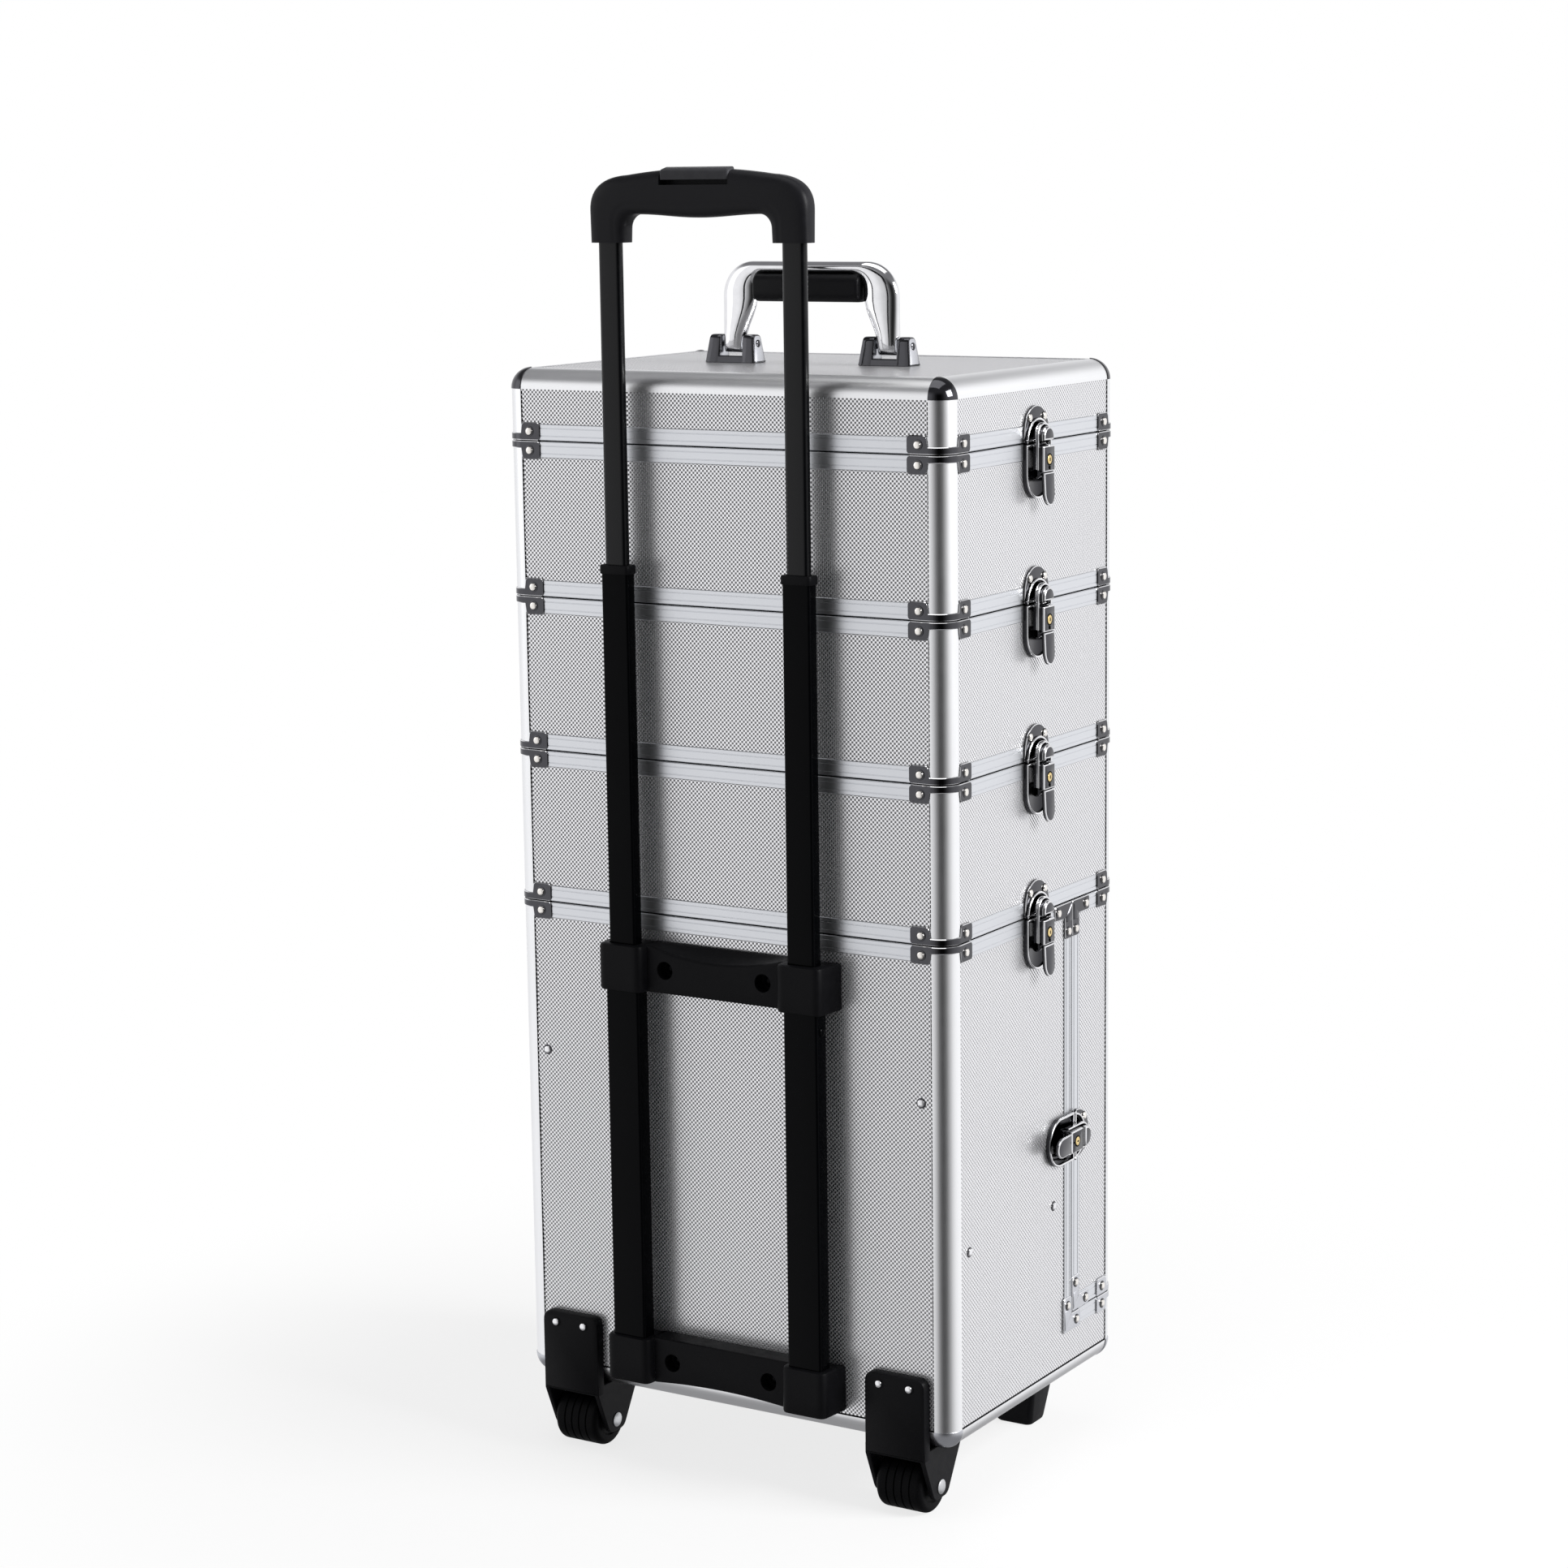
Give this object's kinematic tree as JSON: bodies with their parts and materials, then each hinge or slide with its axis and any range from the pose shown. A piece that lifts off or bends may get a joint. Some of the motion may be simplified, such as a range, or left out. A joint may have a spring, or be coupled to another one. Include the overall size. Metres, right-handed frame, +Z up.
{
  "type": "rolling makeup case",
  "caption": "Tall silver make-up trolley case with dimpled aluminium panels, a hinged front door in the base, lift-off trays and lid, draw latches, a carry handle and a telescopic handle",
  "frame": {"origin": "on the floor under the middle of the bounding box", "axes": "+Z up, -Y front with the door, +Y back with the trolley handle and the wheels, +X the hinge side"},
  "size_m": [0.363, 0.2642, 0.8845],
  "materials": {
    "panel_sheet": "thin sheet embossed with small raised dots, satin silver",
    "rail_aluminium": "satin extrusion, finely brushed along its length",
    "satin_corner": "satin plated pressing",
    "chrome_fittings": "bright plated steel",
    "zinc_steel": "zinc plated",
    "black_moulding": "fine grained black moulding",
    "grey_button": "smooth dark grey",
    "black_tube": "satin black coated tube",
    "wheel_rubber": "black grooved tread",
    "handle_grip": "smooth black sleeve",
    "shelf_board": "black lined board",
    "elastic": "black woven elastic"
  },
  "bodies": {
    "base": {"base_panels": "panel_sheet", "base_frame": "rail_aluminium", "base_corners": "satin_corner", "base_hardware": "chrome_fittings", "base_hinge": "zinc_steel", "shelf": "shelf_board", "shelf_runners": "black_moulding", "inner_strap": "elastic", "wheel_housings": "black_moulding", "wheel_axles": "zinc_steel", "front_feet": "black_moulding", "trolley_brackets": "black_moulding", "bracket_screws": "zinc_steel", "outer_tubes": "black_tube"},
    "wheel_left": {"wheel_left": "wheel_rubber"},
    "wheel_right": {"wheel_right": "wheel_rubber"},
    "middle_stage": {"middle_tubes": "black_tube", "middle_collars": "black_moulding"},
    "inner_stage": {"inner_tubes": "black_tube", "trolley_grip": "black_moulding"},
    "trolley_button": {"trolley_button": "grey_button"},
    "door": {"door_panels": "panel_sheet", "door_frame": "rail_aluminium", "door_hardware": "chrome_fittings", "door_hinge": "zinc_steel"},
    "lower_tray": {"lower_panels": "panel_sheet", "lower_frame": "rail_aluminium", "lower_hardware": "chrome_fittings"},
    "middle_tray": {"middle_panels": "panel_sheet", "middle_frame": "rail_aluminium", "middle_hardware": "chrome_fittings"},
    "top_tray": {"top_panels": "panel_sheet", "top_frame": "rail_aluminium", "top_hardware": "chrome_fittings"},
    "lid": {"lid_panels": "panel_sheet", "lid_frame": "rail_aluminium", "lid_corners": "chrome_fittings", "lid_hardware": "chrome_fittings", "handle_clevises": "chrome_fittings"},
    "carry_handle": {"carry_bow": "chrome_fittings", "carry_grip": "handle_grip"},
    "lower_lever_left": {"lower_lever_left": "chrome_fittings"},
    "lower_claw_left": {"lower_claw_left": "chrome_fittings"},
    "lower_lever_right": {"lower_lever_right": "chrome_fittings"},
    "lower_claw_right": {"lower_claw_right": "chrome_fittings"},
    "middle_lever_left": {"middle_lever_left": "chrome_fittings"},
    "middle_claw_left": {"middle_claw_left": "chrome_fittings"},
    "middle_lever_right": {"middle_lever_right": "chrome_fittings"},
    "middle_claw_right": {"middle_claw_right": "chrome_fittings"},
    "top_lever_left": {"top_lever_left": "chrome_fittings"},
    "top_claw_left": {"top_claw_left": "chrome_fittings"},
    "top_lever_right": {"top_lever_right": "chrome_fittings"},
    "top_claw_right": {"top_claw_right": "chrome_fittings"},
    "lid_lever_left": {"lid_lever_left": "chrome_fittings"},
    "lid_claw_left": {"lid_claw_left": "chrome_fittings"},
    "lid_lever_right": {"lid_lever_right": "chrome_fittings"},
    "lid_claw_right": {"lid_claw_right": "chrome_fittings"},
    "door_lever": {"door_lever": "chrome_fittings"},
    "door_claw": {"door_claw": "chrome_fittings"}
  },
  "joints": [
    {"name": "wheel_left_spin", "type": "hinge", "parent": "base", "child": "wheel_left", "pos_m": [-0.13, 0.09165, 0.019], "axis": [1, 0, 0], "continuous": true},
    {"name": "wheel_right_spin", "type": "hinge", "parent": "base", "child": "wheel_right", "pos_m": [0.13, 0.09165, 0.019], "axis": [1, 0, 0], "continuous": true},
    {"name": "middle_stage_slide", "type": "slide", "parent": "base", "child": "middle_stage", "axis": [0, 0, 1], "range_m": [-0.248, 0]},
    {"name": "inner_stage_slide", "type": "slide", "parent": "middle_stage", "child": "inner_stage", "axis": [0, 0, 1], "range_m": [-0.209, 0]},
    {"name": "button_press", "type": "slide", "parent": "inner_stage", "child": "trolley_button", "axis": [0, 0, -1], "range_m": [0, 0.003], "stiffness_N_per_m": 400},
    {"name": "door_swing", "type": "hinge", "parent": "base", "child": "door", "pos_m": [0.1729, -0.06335, 0.2435], "axis": [0, 0, 1], "range_deg": [0, 120]},
    {"name": "lower_tray_lift", "type": "slide", "parent": "base", "child": "lower_tray", "axis": [0, 0, 1], "range_m": [0, 0.12]},
    {"name": "middle_tray_lift", "type": "slide", "parent": "lower_tray", "child": "middle_tray", "axis": [0, 0, 1], "range_m": [0, 0.12]},
    {"name": "top_tray_lift", "type": "slide", "parent": "middle_tray", "child": "top_tray", "axis": [0, 0, 1], "range_m": [0, 0.12]},
    {"name": "lid_lift", "type": "slide", "parent": "top_tray", "child": "lid", "axis": [0, 0, 1], "range_m": [0, 0.12]},
    {"name": "carry_handle_swing", "type": "hinge", "parent": "lid", "child": "carry_handle", "pos_m": [0, -0.01135, 0.7648], "axis": [1, 0, 0], "range_deg": [-90, 90]},
    {"name": "lower_lever_left_turn", "type": "hinge", "parent": "base", "child": "lower_lever_left", "pos_m": [-0.1752, -0.01135, 0.3855], "axis": [0, 1, 0], "range_deg": [0, 90]},
    {"name": "lower_claw_left_turn", "type": "hinge", "parent": "lower_lever_left", "child": "lower_claw_left", "pos_m": [-0.1752, -0.01135, 0.3695], "axis": [0, 1, 0], "range_deg": [-65, 0]},
    {"name": "lower_lever_right_turn", "type": "hinge", "parent": "base", "child": "lower_lever_right", "pos_m": [0.1752, -0.01135, 0.3855], "axis": [0, -1, 0], "range_deg": [0, 90]},
    {"name": "lower_claw_right_turn", "type": "hinge", "parent": "lower_lever_right", "child": "lower_claw_right", "pos_m": [0.1752, -0.01135, 0.3695], "axis": [0, -1, 0], "range_deg": [-65, 0]},
    {"name": "middle_lever_left_turn", "type": "hinge", "parent": "lower_tray", "child": "middle_lever_left", "pos_m": [-0.1752, -0.01135, 0.4905], "axis": [0, 1, 0], "range_deg": [0, 90]},
    {"name": "middle_claw_left_turn", "type": "hinge", "parent": "middle_lever_left", "child": "middle_claw_left", "pos_m": [-0.1752, -0.01135, 0.4745], "axis": [0, 1, 0], "range_deg": [-65, 0]},
    {"name": "middle_lever_right_turn", "type": "hinge", "parent": "lower_tray", "child": "middle_lever_right", "pos_m": [0.1752, -0.01135, 0.4905], "axis": [0, -1, 0], "range_deg": [0, 90]},
    {"name": "middle_claw_right_turn", "type": "hinge", "parent": "middle_lever_right", "child": "middle_claw_right", "pos_m": [0.1752, -0.01135, 0.4745], "axis": [0, -1, 0], "range_deg": [-65, 0]},
    {"name": "top_lever_left_turn", "type": "hinge", "parent": "middle_tray", "child": "top_lever_left", "pos_m": [-0.1752, -0.01135, 0.5955], "axis": [0, 1, 0], "range_deg": [0, 90]},
    {"name": "top_claw_left_turn", "type": "hinge", "parent": "top_lever_left", "child": "top_claw_left", "pos_m": [-0.1752, -0.01135, 0.5795], "axis": [0, 1, 0], "range_deg": [-65, 0]},
    {"name": "top_lever_right_turn", "type": "hinge", "parent": "middle_tray", "child": "top_lever_right", "pos_m": [0.1752, -0.01135, 0.5955], "axis": [0, -1, 0], "range_deg": [0, 90]},
    {"name": "top_claw_right_turn", "type": "hinge", "parent": "top_lever_right", "child": "top_claw_right", "pos_m": [0.1752, -0.01135, 0.5795], "axis": [0, -1, 0], "range_deg": [-65, 0]},
    {"name": "lid_lever_left_turn", "type": "hinge", "parent": "top_tray", "child": "lid_lever_left", "pos_m": [-0.1752, -0.01135, 0.7005], "axis": [0, 1, 0], "range_deg": [0, 90]},
    {"name": "lid_claw_left_turn", "type": "hinge", "parent": "lid_lever_left", "child": "lid_claw_left", "pos_m": [-0.1752, -0.01135, 0.6845], "axis": [0, 1, 0], "range_deg": [-65, 0]},
    {"name": "lid_lever_right_turn", "type": "hinge", "parent": "top_tray", "child": "lid_lever_right", "pos_m": [0.1752, -0.01135, 0.7005], "axis": [0, -1, 0], "range_deg": [0, 90]},
    {"name": "lid_claw_right_turn", "type": "hinge", "parent": "lid_lever_right", "child": "lid_claw_right", "pos_m": [0.1752, -0.01135, 0.6845], "axis": [0, -1, 0], "range_deg": [-65, 0]},
    {"name": "door_lever_turn", "type": "hinge", "parent": "base", "child": "door_lever", "pos_m": [-0.1752, -0.05935, 0.2245], "axis": [0, 0, 1], "range_deg": [0, 90]},
    {"name": "door_claw_turn", "type": "hinge", "parent": "door_lever", "child": "door_claw", "pos_m": [-0.1752, -0.04335, 0.2245], "axis": [0, 0, 1], "range_deg": [-65, 0]}
  ],
  "couplings": [
    {"joint": "lower_claw_left_turn", "follows": "lower_lever_left_turn", "ratio": -0.72},
    {"joint": "lower_claw_right_turn", "follows": "lower_lever_right_turn", "ratio": -0.72},
    {"joint": "middle_claw_left_turn", "follows": "middle_lever_left_turn", "ratio": -0.72},
    {"joint": "middle_claw_right_turn", "follows": "middle_lever_right_turn", "ratio": -0.72},
    {"joint": "top_claw_left_turn", "follows": "top_lever_left_turn", "ratio": -0.72},
    {"joint": "top_claw_right_turn", "follows": "top_lever_right_turn", "ratio": -0.72},
    {"joint": "lid_claw_left_turn", "follows": "lid_lever_left_turn", "ratio": -0.72},
    {"joint": "lid_claw_right_turn", "follows": "lid_lever_right_turn", "ratio": -0.72},
    {"joint": "door_claw_turn", "follows": "door_lever_turn", "ratio": -0.72}
  ]
}
